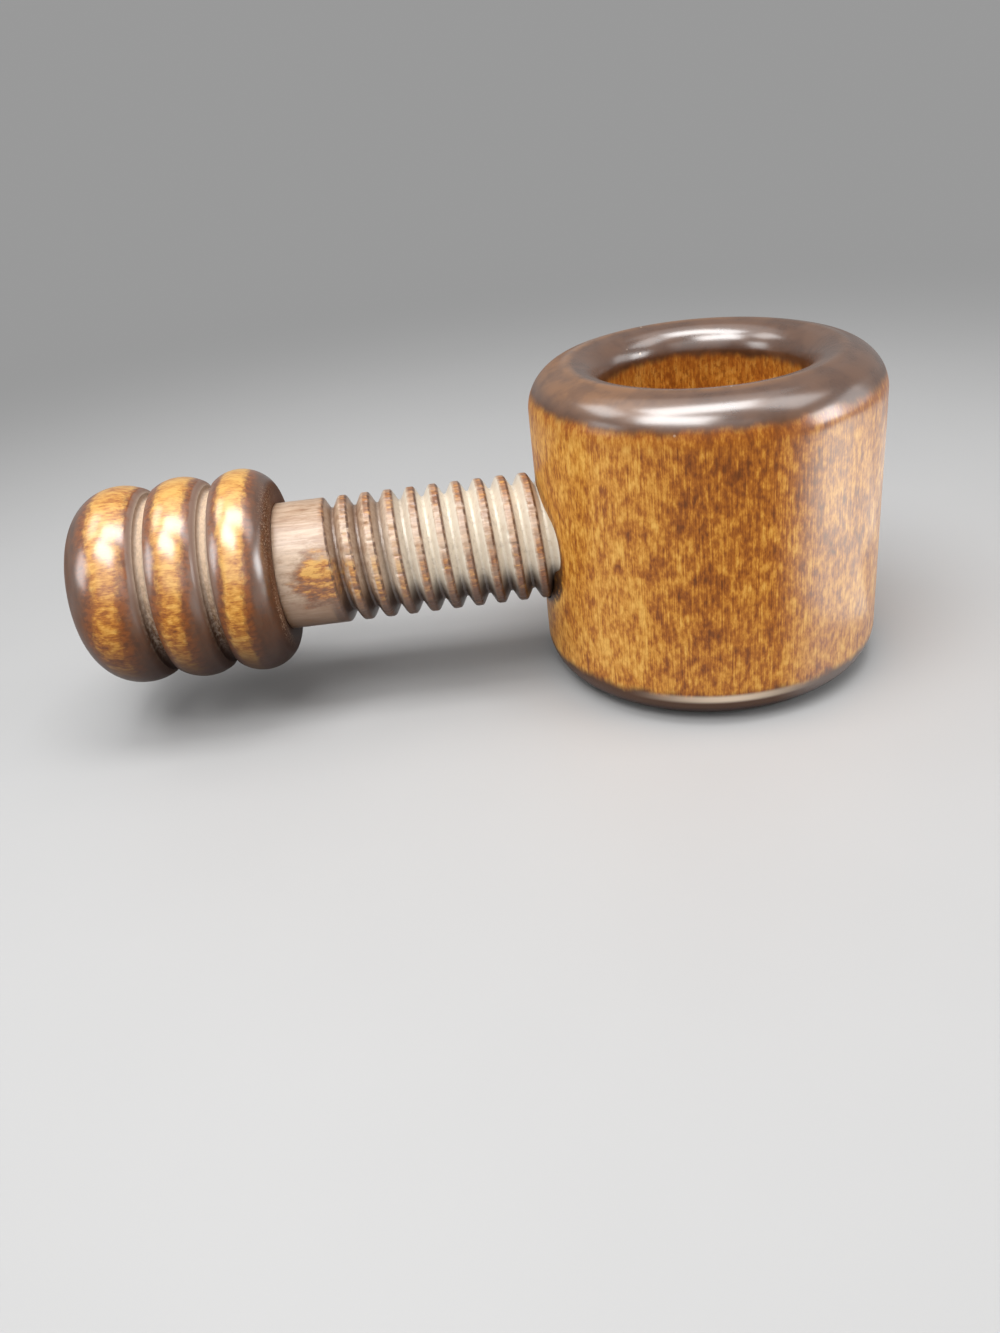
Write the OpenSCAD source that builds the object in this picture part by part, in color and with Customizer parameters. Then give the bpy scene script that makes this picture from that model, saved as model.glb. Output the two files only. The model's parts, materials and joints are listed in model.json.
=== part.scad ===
// Screw nutcracker in turned wood: a cup, a threaded spindle and a three-bead knob.
// Millimetres. Origin at the centre of the foot, Z up the cup, screw axis along X, knob towards -X.

/* [Cup] */
// Outside diameter of the cup
cup_d = 63.5; // [56:0.5:90]
// Height of the cup
cup_h = 58.7; // [54:0.1:80]
// Thickness of the cup wall, the length of thread in the cup
wall_t = 13.5; // [10:0.1:17]
// Thickness of the cup floor
floor_t = 11; // [6:0.5:14]
// Radius of the roll on the outside of the rim
rim_outer_r = 7.5; // [2:0.1:9]
// Radius of the roll on the inside of the rim
rim_inner_r = 5.2; // [2:0.1:8]
// Radius of the rounded foot edge
foot_r = 6.8; // [2:0.1:10]
// Radius of the corner between the inner wall and the floor
well_r = 6; // [2:0.5:9]

/* [Screw] */
// Diameter over the thread crests, also of the plain shank
screw_d = 24.1; // [20:0.1:26]
// Height of the screw axis above the foot
screw_h = 27.7; // [26:0.1:32]
// Distance the screw moves in one turn
pitch = 4.28; // [3.6:0.01:5.4]
// Depth of the thread
thread_depth = 2.1; // [1.2:0.05:2.6]
// Width of the flat on the thread crest
crest_w = 1.5; // [0.6:0.01:1.8]
// Width of the flat at the thread root
root_w = 0.5; // [0.48:0.01:0.8]
// Distance from the cup to the start of the thread groove
screw_out = 39.9; // [20:0.1:60]
// Distance from the knob to the start of the thread groove
shank_l = 9.35; // [5:0.05:20]
// How far the tip stands inside the cup
tip_in = 2; // [0:0.5:8]
// Length of the bevel on the tip
tip_bevel = 2.4; // [0.5:0.1:4]
// Angle about the screw axis at which the thread groove starts
thread_turn = 60; // [0:1:359]
// Angle over which the thread groove deepens from nothing
run_in = 60; // [30:5:180]

/* [Knob] */
// Diameter of the bead at the free end
end_bead_d = 37.6; // [30:0.1:46]
// Diameter of the middle bead
mid_bead_d = 38.1; // [30:0.1:46]
// Diameter of the bead beside the shank
near_bead_d = 38.4; // [30:0.1:46]
// Radius of the round of the end bead
end_bead_r = 9.4; // [7:0.1:11]
// Radius of the round of the middle bead
mid_bead_r = 7.8; // [6.5:0.1:10]
// Radius of the round of the bead beside the shank
near_bead_r = 6.9; // [6:0.1:9]
// Distance between the end bead and the middle bead
end_step = 11.5; // [10:0.1:14]
// Distance between the middle bead and the bead beside the shank
near_step = 11.3; // [10:0.1:14]
// Diameter at the bottom of the grooves between beads
groove_d = 31.4; // [27:0.1:33]
// Width of the flat band at the bottom of each groove
groove_w = 1.8; // [1:0.1:3]
// Distance from the middle of the last bead to the flat end of the knob at the shank
near_face = 5.9; // [4.5:0.1:5.9]

/* [Dowel] */
// Diameter of the hidden dowel between knob and spindle
dowel_d = 9.5; // [6:0.1:11]
// Length of the dowel inside the knob
dowel_in_knob = 24; // [12:0.5:30]
// Length of the dowel inside the spindle
dowel_in_screw = 15; // [8:0.5:30]

/* [Fit] */
// Clearance between the two threads
thread_gap = 0.3; // [0.2:0.05:0.4]
// Clearance around the dowel
dowel_gap = 0.06; // [0.03:0.01:0.1]
// Clearance at each end of the dowel
dowel_end_gap = 0.5; // [0.2:0.1:2]

/* [Hidden] */
$fn = 96;
// Flat facets in one turn of the thread
turn_steps = 48;
cup_r = cup_d / 2;
well_rad = cup_r - wall_t;
// The two rolls shrink together where the wall is too thin for both
roll_fit = min(1, (wall_t - 0.6) / (rim_outer_r + rim_inner_r));
roll_out = rim_outer_r * roll_fit;
roll_in = rim_inner_r * roll_fit;
well_corner = min(well_r, well_rad - 1);

screw_r = screw_d / 2;
root_r = screw_r - thread_depth;
// Axial run of one flank
flank_run = (pitch - crest_w - root_w) / 2;
flank_angle = atan(flank_run / thread_depth);
// Axial widening that keeps the clearance square to the flanks
gap_widen = 1 / cos(flank_angle) - tan(flank_angle);
// How far the cutting shape of the groove stands out of the wood
groove_over = 0.2;

groove_x = -(cup_r + screw_out);
knob_x = groove_x - shank_l;
tip_x = -well_rad + tip_in;
// Middle of a thread crest at angle 0
thread_zero = groove_x + pitch * (0.5 - thread_turn / 360);
// Where the screw hole opens fully into the well
hole_reach = screw_r + thread_gap + 0.2;
hole_x = -sqrt(max(0, well_rad * well_rad - hole_reach * hole_reach));

near_x = knob_x - near_face;
mid_x = near_x - near_step;
end_x = mid_x - end_step;

// Puts a shape built along Z onto the screw axis
module on_screw_axis() {
  translate([0, 0, screw_h])
    rotate([0, 90, 0])
      children();
}

// Points of the thread: four helical lines, root to crest and back, repeated turn by turn
function thread_points(gap, t0, t1) = [
  for (i = [t0 * turn_steps : t1 * turn_steps])
    for (k = [0 : 3])
      let (
        half = crest_w / 2 + gap * gap_widen,
        a = 360 * i / turn_steps,
        r = (k == 0 || k == 3 ? root_r : screw_r) + gap,
        s = [-half - flank_run, -half, half, half + flank_run][k]
      )
      [r * cos(a), r * sin(a), thread_zero + pitch * i / turn_steps + s]
];

// Solid right-hand thread that is whole from z_from to z_to, its ends closed by spiral ramps
module thread_solid(gap, z_from, z_to) {
  t0 = floor((z_from - thread_zero) / pitch) - 1;
  t1 = ceil((z_to - thread_zero) / pitch) + 1;
  n = turn_steps;
  last = (t1 - t0) * n;
  ring_points = thread_points(gap, t0, t1);
  first_hub = len(ring_points);
  last_hub = first_hub + 1;
  hubs = [
    [0, 0, thread_zero + pitch * (t0 + 0.5)],
    [0, 0, thread_zero + pitch * (t1 - 0.5)]
  ];
  crests = [for (i = [0 : last - 1]) [4 * i + 1, 4 * i + 2, 4 * i + 6, 4 * i + 5]];
  roots = [
    for (i = [0 : last - n - 1])
      [4 * i + 3, 4 * (i + n), 4 * (i + n) + 4, 4 * i + 7]
  ];
  flanks = [
    for (i = [0 : last - 1])
      for (k = [0, 2])
        for (f = [[0, 1, 5], [0, 5, 4]])
          [for (c = f) 4 * i + k + c]
  ];
  first_ramp = [for (i = [0 : n - 1]) [first_hub, 4 * i, 4 * i + 4]];
  first_step = [
    [first_hub, 1, 0],
    [first_hub, 2, 1],
    [first_hub, 3, 2],
    [first_hub, 4 * n, 3]
  ];
  last_ramp = [for (i = [last - n : last - 1]) [last_hub, 4 * i + 7, 4 * i + 3]];
  last_step = [
    [last_hub, 4 * (last - n) + 3, 4 * last],
    [last_hub, 4 * last, 4 * last + 1],
    [last_hub, 4 * last + 1, 4 * last + 2],
    [last_hub, 4 * last + 2, 4 * last + 3]
  ];
  polyhedron(
    points = concat(ring_points, hubs),
    faces = concat(crests, roots, flanks, first_ramp, first_step, last_ramp, last_step),
    convexity = 20
  );
}

// Half section of the cup's outside: rounded foot, straight side, roll at the rim
module cup_outline() {
  square([cup_r - foot_r, cup_h - roll_out]);
  translate([0, foot_r])
    square([cup_r, cup_h - foot_r - roll_out]);
  translate([cup_r - foot_r, foot_r])
    circle(r = foot_r);
  translate([0, foot_r])
    square([cup_r - roll_out, cup_h - foot_r]);
  translate([cup_r - roll_out, cup_h - roll_out])
    circle(r = roll_out);
}

// Half section of the well: floor with a round corner, straight wall, mouth opened by the inner roll
module well_outline() {
  translate([0, floor_t])
    square([well_rad - well_corner, cup_h]);
  translate([0, floor_t + well_corner])
    square([well_rad, cup_h]);
  translate([well_rad - well_corner, floor_t + well_corner])
    circle(r = well_corner);
  difference() {
    translate([0, cup_h - roll_in])
      square([well_rad + roll_in, cup_h]);
    translate([well_rad + roll_in, cup_h - roll_in])
      circle(r = roll_in);
  }
}

// Cup with its well and the threaded hole through one side
module cup() {
  color([0.62, 0.36, 0.13])
    difference() {
      rotate_extrude()
        difference() {
          cup_outline();
          well_outline();
        }
      on_screw_axis()
        thread_solid(thread_gap, -cup_r - 0.5, hole_x + 0.5);
    }
}

// Helical groove that leaves the thread standing, from its shallow start to beyond the tip
module thread_groove() {
  n = turn_steps;
  last = ceil((tip_x - groove_x) / pitch + 1) * n;
  lip = root_w / 2 + flank_run * (1 + groove_over / thread_depth);
  section = [
    [root_r, -root_w / 2],
    [root_r, root_w / 2],
    [screw_r + groove_over, lip],
    [screw_r + groove_over, -lip]
  ];
  ring_points = [
    for (i = [0 : last])
      for (s = section)
        let (
          a = thread_turn + 360 * i / n,
          lift = (thread_depth + groove_over) * max(0, 1 - 360 * i / n / run_in),
          r = s[0] + lift
        )
        [r * cos(a), r * sin(a), groove_x + pitch * i / n + s[1]]
  ];
  sides = [
    for (i = [0 : last - 1])
      for (k = [0 : 3])
        for (f = [[k, 4 + k, (k + 1) % 4], [(k + 1) % 4, 4 + k, 4 + (k + 1) % 4]])
          [for (c = f) 4 * i + c]
  ];
  polyhedron(
    points = ring_points,
    faces = concat(sides, [[0, 1, 2, 3], [for (k = [3 : -1 : 0]) 4 * last + k]]),
    convexity = 20
  );
}

// Spindle: plain shank, wooden thread and bevelled tip, bored for the dowel
module screw_spindle() {
  color([0.55, 0.37, 0.24])
    on_screw_axis()
      difference() {
        rotate_extrude()
          polygon([
            [0, knob_x],
            [screw_r, knob_x],
            [screw_r, tip_x - tip_bevel],
            [screw_r - tip_bevel, tip_x],
            [0, tip_x]
          ]);
        thread_groove();
        translate([0, 0, knob_x - 1])
          cylinder(d = dowel_d + 2 * dowel_gap, h = dowel_in_screw + dowel_end_gap + 1);
      }
}

// Half section of one bead
module bead_outline(x, d, r) {
  translate([d / 2 - r, x])
    circle(r = r);
  translate([0, x - r])
    square([d / 2 - r, 2 * r]);
}

// Half section of the flat band cut at the foot of two beads
module groove_outline(x) {
  translate([groove_d / 2, x - groove_w / 2])
    square([mid_bead_d, groove_w]);
}

// Place along the knob where the rounds of two neighbouring beads meet
function meet_x(x1, d1, r1, x2, d2, r2) =
  let (
    along = x2 - x1,
    across = (d2 / 2 - r2) - (d1 / 2 - r1),
    apart = sqrt(along * along + across * across),
    reach = (r1 * r1 - r2 * r2 + apart * apart) / (2 * apart),
    rise = sqrt(max(0, r1 * r1 - reach * reach))
  )
  x1 + (reach * along - rise * across) / apart;

// Knob of three beads, cut flat where it meets the shank and bored for the dowel
module knob() {
  color([0.60, 0.33, 0.10])
    on_screw_axis()
      difference() {
        rotate_extrude()
          difference() {
            union() {
              bead_outline(end_x, end_bead_d, end_bead_r);
              bead_outline(mid_x, mid_bead_d, mid_bead_r);
              bead_outline(near_x, near_bead_d, near_bead_r);
            }
            translate([0, knob_x])
              square([near_bead_d, near_bead_r]);
            groove_outline(meet_x(end_x, end_bead_d, end_bead_r, mid_x, mid_bead_d, mid_bead_r));
            groove_outline(meet_x(mid_x, mid_bead_d, mid_bead_r, near_x, near_bead_d, near_bead_r));
          }
        translate([0, 0, knob_x - dowel_in_knob - dowel_end_gap])
          cylinder(d = dowel_d + 2 * dowel_gap, h = dowel_in_knob + dowel_end_gap + 1);
      }
}

// Hidden round dowel that joins the knob to the spindle
module handle_dowel() {
  color([0.72, 0.56, 0.36])
    on_screw_axis()
      translate([0, 0, knob_x - dowel_in_knob])
        cylinder(d = dowel_d, h = dowel_in_knob + dowel_in_screw);
}

cup();
screw_spindle();
knob();
handle_dowel();
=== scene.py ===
"""Looks of the turned wooden screw nutcracker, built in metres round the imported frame."""

import json
import math
from collections import namedtuple

import bmesh
import bpy
import numpy as np
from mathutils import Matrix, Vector
from mathutils import noise as field

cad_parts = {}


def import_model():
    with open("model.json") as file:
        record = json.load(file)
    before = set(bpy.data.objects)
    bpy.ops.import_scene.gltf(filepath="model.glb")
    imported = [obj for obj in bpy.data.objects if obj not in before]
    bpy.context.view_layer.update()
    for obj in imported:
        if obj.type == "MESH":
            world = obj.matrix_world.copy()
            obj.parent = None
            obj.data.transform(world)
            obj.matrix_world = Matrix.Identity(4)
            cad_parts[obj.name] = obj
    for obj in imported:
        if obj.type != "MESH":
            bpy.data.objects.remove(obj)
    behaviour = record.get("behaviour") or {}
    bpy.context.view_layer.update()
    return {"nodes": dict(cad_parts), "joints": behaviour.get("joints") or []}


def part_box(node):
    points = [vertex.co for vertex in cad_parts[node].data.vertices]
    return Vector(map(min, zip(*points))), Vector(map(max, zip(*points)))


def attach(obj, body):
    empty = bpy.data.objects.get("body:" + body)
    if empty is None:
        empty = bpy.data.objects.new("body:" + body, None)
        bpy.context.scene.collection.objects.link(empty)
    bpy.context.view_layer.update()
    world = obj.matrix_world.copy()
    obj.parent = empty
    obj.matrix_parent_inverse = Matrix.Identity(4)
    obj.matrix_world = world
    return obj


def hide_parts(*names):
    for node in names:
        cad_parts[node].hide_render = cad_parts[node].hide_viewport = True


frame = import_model()

MM = 0.001
TURN = 2 * math.pi

# Sizes read from the frame
cup_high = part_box("cup")[1]
spindle_low, spindle_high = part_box("screw_spindle")
CUP_R = cup_high.x
CUP_H = cup_high.z
KNOB_X = spindle_low.x
TIP_X = spindle_high.x
KNOB_END_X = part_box("knob")[0].x
SCREW_H = next(j for j in frame["joints"] if j["name"] == "screw_turn")["pos_m"][2]

# Cup
WALL = 13.5 * MM
CUP_FLOOR = 11 * MM
RIM_OUTER_R = 7.5 * MM
RIM_INNER_R = 5.2 * MM
FOOT_R = 6.8 * MM
WELL_CORNER_R = 6 * MM
WELL_R = CUP_R - WALL
CUP_COLUMNS = 384
CUP_WAVE = 0.05 * MM
CUP_WAVE_SIZE = 14 * MM
CREST_R = 24.2 * MM
CREST_HALF = 1.6 * MM
CREST_HEIGHT = 0.22 * MM

# Hole in the cup: how far its cutter reaches out of the wall and into the well, and its chipped edge
HOLE_OUT = 3 * MM
HOLE_IN = 5 * MM
CHIP_DEPTH = 0.25 * MM
CHIP_SIZE = 1.5 * MM
CHIP_REACH = 2.5 * MM
CHIP_FADE = 2 * MM

# Screw
SCREW_R = 12.05 * MM
ROOT_R = 9.95 * MM
PITCH = 4.28 * MM
ROOT_HALF = 0.25 * MM
FLANK_RUN = 1.14 * MM
GROOVE_X = KNOB_X + 9.35 * MM
THREAD_START = 60 / 360
RUN_IN = 60 / 360
CREST_ROUND = 0.6 * MM
TIP_BEVEL = 2.4 * MM
SHANK_EDGE = 0.15 * MM
THREAD_GAP = 0.3 * MM
NICK_DEPTH = 0.3 * MM
NICK_REACH = 0.7 * MM
NICK_FADE = 0.6 * MM
NICK_SIZE = (3 * MM, 0.8 * MM, 0.8 * MM)
FIBRE_DEPTH = 0.03 * MM
FIBRE_SIZE = (2.5 * MM, 0.5 * MM, 0.5 * MM)
SCREW_ROW = 0.155 * MM
SCREW_COLUMNS = 240

# Knob: a bead has its centre along the axis, the radius over it and the radius of its round
Bead = namedtuple("Bead", "centre over rounding")
NEAR_BEAD = Bead(KNOB_X - 5.9 * MM, 19.2 * MM, 6.9 * MM)
MID_BEAD = Bead(NEAR_BEAD.centre - 11.3 * MM, 19.05 * MM, 7.8 * MM)
END_BEAD = Bead(MID_BEAD.centre - 11.5 * MM, 18.8 * MM, 9.4 * MM)
GROOVE_R = 15.7 * MM
GROOVE_W = 1.8 * MM
GROOVE_EDGE = 0.4 * MM
COVE_R = 0.7 * MM
SEAT_EDGE = 0.4 * MM
FACE_ROUND = 4.5 * MM
FACE_BULGE = 0.3 * MM
KNOB_COLUMNS = 256
KNOB_WAVE = 0.025 * MM
KNOB_WAVE_SIZE = 9 * MM

# Dowel sockets
SOCKET_R = 4.81 * MM
SOCKET_IN_SCREW = 15.5 * MM
SOCKET_IN_KNOB = 24.5 * MM

# Radius of the small ring that each closed end starts from
END_R = 1 * MM


# Shapes

def stretch(start, end, step):
    """Evenly spaced (radius, along) pairs on a straight line, without its first point."""
    length = math.dist(start, end)
    count = max(1, round(length / step))
    return [
        tuple(a + (b - a) * i / count for a, b in zip(start, end))
        for i in range(1, count + 1)
    ]


def arc(centre, radius, start_deg, end_deg, step):
    """Evenly spaced (radius, along) pairs on a round, without its first point."""
    turn = math.radians(end_deg - start_deg)
    count = max(2, round(abs(turn) * radius / step))
    angles = [math.radians(start_deg) + turn * i / count for i in range(1, count + 1)]
    return [(centre[0] + radius * math.cos(a), centre[1] + radius * math.sin(a)) for a in angles]


def upright(along, radii, angles):
    """Places of rings on the axis of the cup."""
    return np.stack([radii * np.cos(angles), radii * np.sin(angles), along], axis=-1)


def on_screw(along, radii, angles):
    """Places of rings on the axis of the screw."""
    return np.stack([along, radii * np.sin(angles), SCREW_H - radii * np.cos(angles)], axis=-1)


def unevenness(points, size, seed):
    """Smooth noise from about -1 to 1 at each point, with features of one size or of one for each axis."""
    scaled = (points / np.array(size) + seed).reshape(-1, 3)
    return np.array([field.noise(p) for p in scaled.tolist()]).reshape(points.shape[:-1])


def rings(profile, columns):
    """A profile as grids of places along the axis, radii and angles, one row for each of its points."""
    radii, along = (np.array(values)[:, None] for values in zip(*profile))
    angles = (np.arange(columns) * TURN / columns)[None, :]
    return np.broadcast_arrays(along, radii, angles)


def skin(name, points):
    """Smooth closed mesh over a grid of rings, with each end closed by a fan."""
    rows, columns = points.shape[:2]
    ends = [points[0].mean(axis=0), points[-1].mean(axis=0)]
    vertices = np.concatenate([points.reshape(-1, 3), ends])
    last = (rows - 1) * columns
    faces = []
    for column in range(columns):
        beside = (column + 1) % columns
        faces.append((rows * columns, column, beside))
        faces.append((rows * columns + 1, last + beside, last + column))
        for row in range(0, last, columns):
            faces.append((row + column, row + columns + column, row + columns + beside, row + beside))
    mesh = bpy.data.meshes.new(name)
    mesh.from_pydata(vertices.tolist(), [], faces)
    settle(mesh)
    piece = bpy.data.objects.new(name, mesh)
    bpy.context.scene.collection.objects.link(piece)
    return piece


def settle(mesh, sharp_deg=38):
    """Turns every face outwards and shades it smooth, apart from the sharp edges."""
    work = bmesh.new()
    work.from_mesh(mesh)
    bmesh.ops.recalc_face_normals(work, faces=work.faces)
    work.to_mesh(mesh)
    work.free()
    mesh.shade_smooth()
    mesh.set_sharp_from_angle(angle=math.radians(sharp_deg))


def cut(piece, cutter):
    """Takes one closed shape out of another, for good."""
    change = piece.modifiers.new("cut", "BOOLEAN")
    change.operation = "DIFFERENCE"
    change.solver = "EXACT"
    change.object = cutter
    bpy.context.view_layer.update()
    shaped = piece.evaluated_get(bpy.context.evaluated_depsgraph_get())
    mesh = bpy.data.meshes.new_from_object(shaped)
    piece.modifiers.clear()
    piece.data = mesh
    bpy.data.objects.remove(cutter)


def cup_profile():
    """Half section of the cup from the middle of the foot round to the middle of the floor of the well."""
    foot = (CUP_R - FOOT_R, FOOT_R)
    outer = (CUP_R - RIM_OUTER_R, CUP_H - RIM_OUTER_R)
    inner = (WELL_R + RIM_INNER_R, CUP_H - RIM_INNER_R)
    corner = (WELL_R - WELL_CORNER_R, CUP_FLOOR + WELL_CORNER_R)
    profile = [(END_R, 0)]
    profile += stretch(profile[-1], (foot[0], 0), 4 * MM)
    profile += arc(foot, FOOT_R, -90, 0, 0.6 * MM)
    profile += stretch(profile[-1], (CUP_R, outer[1]), 1.1 * MM)
    profile += arc(outer, RIM_OUTER_R, 0, 90, 0.4 * MM)
    profile += stretch(profile[-1], (inner[0], CUP_H), 0.2 * MM)
    profile += arc(inner, RIM_INNER_R, 90, 180, 0.4 * MM)
    profile += stretch(profile[-1], (WELL_R, corner[1]), 1.6 * MM)
    profile += arc(corner, WELL_CORNER_R, 0, -90, 0.8 * MM)
    profile += stretch(profile[-1], (END_R, CUP_FLOOR), 3 * MM)
    return profile


def crest_ridge(along, radii):
    """Height of the soft ridge where the outer and inner rounds of the rim meet."""
    across = (radii - CREST_R) / CREST_HALF
    return CREST_HEIGHT * np.clip(1 - across ** 2, 0, None) ** 2 * (along > CUP_H - 1 * MM)


def soft_least(first, second, rounding):
    """The lesser of two values, with the corner between them rounded off."""
    near = np.clip(rounding - np.abs(first - second), 0, None)
    return np.minimum(first, second) - near ** 2 / (4 * rounding)


def thread_radius(along, angles, gap=0.0):
    """Radius of the thread, its crests rounded; a gap makes the hole's thread, which has no start."""
    depth = SCREW_R - ROOT_R
    slope = math.atan2(FLANK_RUN, depth)
    root = ROOT_HALF - gap * (1 / math.cos(slope) - math.tan(slope))
    turned = angles / TURN - THREAD_START
    turns = (along - GROOVE_X) / PITCH - turned
    nearest = np.round(turns)
    off_groove = np.abs(turns - nearest) * PITCH
    radius = ROOT_R + gap + np.clip(off_groove - root, 0, None) * depth / FLANK_RUN
    if not gap:
        radius = radius + (depth + CREST_ROUND) * (1 - np.clip((turned + nearest) / RUN_IN, 0, 1))
    return soft_least(radius, SCREW_R + gap, CREST_ROUND)


def thread_cutter():
    """Shape of the threaded hole, with its outer edge a little broken."""
    profile = [(SCREW_R, x) for x in np.arange(-CUP_R - HOLE_OUT, -WELL_R + HOLE_IN, SCREW_ROW * 1.5)]
    along, radii, angles = rings(profile, SCREW_COLUMNS)
    radii = thread_radius(along, angles, THREAD_GAP)
    edge = np.clip((-CUP_R + CHIP_REACH - along) / CHIP_FADE, 0, 1)
    chips = np.clip(unevenness(on_screw(along, radii, angles), CHIP_SIZE, 3.7), 0, 1)
    return skin("hole", on_screw(along, radii + edge * CHIP_DEPTH * chips, angles))


def turned_cup():
    """Thick-walled cup with its threaded hole."""
    along, radii, angles = rings(cup_profile(), CUP_COLUMNS)
    wave = unevenness(upright(along, radii, angles), CUP_WAVE_SIZE, 1.3)
    along = along + crest_ridge(along, radii)
    radii = radii + CUP_WAVE * wave * np.clip(radii / CUP_R, 0, 1)
    cup = skin("turned_cup", upright(along, radii, angles))
    cut(cup, thread_cutter())
    settle(cup.data)
    return cup


def screw_profile():
    """Half section of the spindle before its thread is cut: its socket, its side and its tip."""
    socket = [(END_R, KNOB_X + SOCKET_IN_SCREW)]
    socket += stretch(socket[-1], (SOCKET_R, KNOB_X + SOCKET_IN_SCREW), 2 * MM)
    socket += stretch(socket[-1], (SOCKET_R, KNOB_X), 3 * MM)
    socket += stretch(socket[-1], (SCREW_R - SHANK_EDGE, KNOB_X), 2 * MM)
    side = [(SCREW_R, KNOB_X + SHANK_EDGE)]
    side += stretch(side[-1], (SCREW_R, GROOVE_X - PITCH / 2), 0.4 * MM)
    side += stretch(side[-1], (SCREW_R, TIP_X - TIP_BEVEL), SCREW_ROW)
    side += stretch(side[-1], (SCREW_R - TIP_BEVEL, TIP_X), 1.4 * SCREW_ROW)
    tip = stretch(side[-1], (END_R, TIP_X), 2 * MM)
    return socket, side, tip


def wooden_screw():
    """Spindle with its shank and worn thread."""
    socket, side, tip = screw_profile()
    along, radii, angles = (np.array(grid) for grid in rings(socket + side + tip, SCREW_COLUMNS))
    outer = slice(len(socket), len(socket) + len(side))
    x, turned = along[outer], angles[outer]
    shape = thread_radius(x, turned)
    places = on_screw(x, shape, turned)
    on_thread = np.clip((x - GROOVE_X) / PITCH, 0, 1)
    near_crest = on_thread * np.clip((shape - SCREW_R + NICK_REACH) / NICK_FADE, 0, 1)
    nicks = np.clip(unevenness(places, NICK_SIZE, 5.1) * 2.2 - 0.35, 0, 1)
    fibres = unevenness(places, FIBRE_SIZE, 8.3) - 1
    shape = shape - near_crest * NICK_DEPTH * nicks + FIBRE_DEPTH * fibres
    radii[outer] = np.minimum(shape, radii[outer])
    return skin("wooden_screw", on_screw(along, radii, angles))


def bead_radius(bead, x):
    """Radius of a bead at a place along the knob."""
    centre, over, rounding = bead
    return over - rounding + math.sqrt(max(0.0, rounding ** 2 - (x - centre) ** 2))


def groove_place(left, right):
    """Place along the knob where the rounds of two neighbouring beads meet, found by halving."""
    low, high = left.centre, right.centre
    for _ in range(40):
        middle = (low + high) / 2
        if bead_radius(left, middle) > bead_radius(right, middle):
            low = middle
        else:
            high = middle
    return low


FAR_GROOVE_X = groove_place(END_BEAD, MID_BEAD)
NEAR_GROOVE_X = groove_place(MID_BEAD, NEAR_BEAD)


def bead_arc(bead, start_x, end_x):
    """Points over a bead between two places along the knob."""
    centre, over, rounding = bead
    start_deg, end_deg = (
        math.degrees(math.acos(max(-1, min(1, (x - centre) / rounding)))) for x in (start_x, end_x)
    )
    points = arc((0, 0), rounding, start_deg, end_deg, 0.4 * MM)
    return [(over - rounding + side, centre + along) for along, side in points]


def groove(x, beyond):
    """Coved band between two beads, walked towards the free end, and the edge of the bead beyond it."""
    right, left = x + GROOVE_W / 2, x - GROOVE_W / 2
    band = [(GROOVE_R + COVE_R, right)]
    band += arc((GROOVE_R + COVE_R, right - COVE_R), COVE_R, 90, 180, 0.12 * MM)
    band += stretch(band[-1], (GROOVE_R, left + COVE_R), 0.2 * MM)
    band += arc((GROOVE_R + COVE_R, left + COVE_R), COVE_R, 180, 270, 0.12 * MM)
    return band + [(bead_radius(beyond, left) - GROOVE_EDGE, left)]


def near_face():
    """The near bead's round over its face at the shank, walked outwards to where it meets the bead."""
    centre, over, rounding = NEAR_BEAD
    axial = KNOB_X + FACE_BULGE - FACE_ROUND - centre
    radial = math.sqrt((rounding - FACE_ROUND) ** 2 - axial ** 2)
    middle = (over - rounding + radial, centre + axial)
    start_deg = 180 - math.degrees(math.acos((middle[0] - SCREW_R) / FACE_ROUND))
    end_deg = math.degrees(math.atan2(axial, radial))
    return arc(middle, FACE_ROUND, start_deg, end_deg, 0.35 * MM)


def knob_profile():
    """Half section of the knob from the end of its socket round to the middle of its free end."""
    beside = GROOVE_W / 2 + GROOVE_EDGE
    profile = [(END_R, KNOB_X - SOCKET_IN_KNOB)]
    profile += stretch(profile[-1], (SOCKET_R, KNOB_X - SOCKET_IN_KNOB), 2 * MM)
    profile += stretch(profile[-1], (SOCKET_R, KNOB_X), 3 * MM)
    profile += stretch(profile[-1], (SCREW_R - SEAT_EDGE, KNOB_X), 1.5 * MM)
    profile += near_face()
    profile += bead_arc(NEAR_BEAD, profile[-1][1], NEAR_GROOVE_X + beside)
    profile += groove(NEAR_GROOVE_X, MID_BEAD)
    profile += bead_arc(MID_BEAD, NEAR_GROOVE_X - beside, FAR_GROOVE_X + beside)
    profile += groove(FAR_GROOVE_X, END_BEAD)
    profile += bead_arc(END_BEAD, FAR_GROOVE_X - beside, END_BEAD.centre - END_BEAD.rounding)
    profile += stretch(profile[-1], (END_R, KNOB_END_X), 2 * MM)
    return profile


def beaded_knob():
    """Turned knob of three beads."""
    along, radii, angles = rings(knob_profile(), KNOB_COLUMNS)
    wave = unevenness(on_screw(along, radii, angles), KNOB_WAVE_SIZE, 4.4)
    radii = radii + KNOB_WAVE * wave * (radii > GROOVE_R - 1 * MM)
    return skin("beaded_knob", on_screw(along, radii, angles))


# Materials

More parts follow.
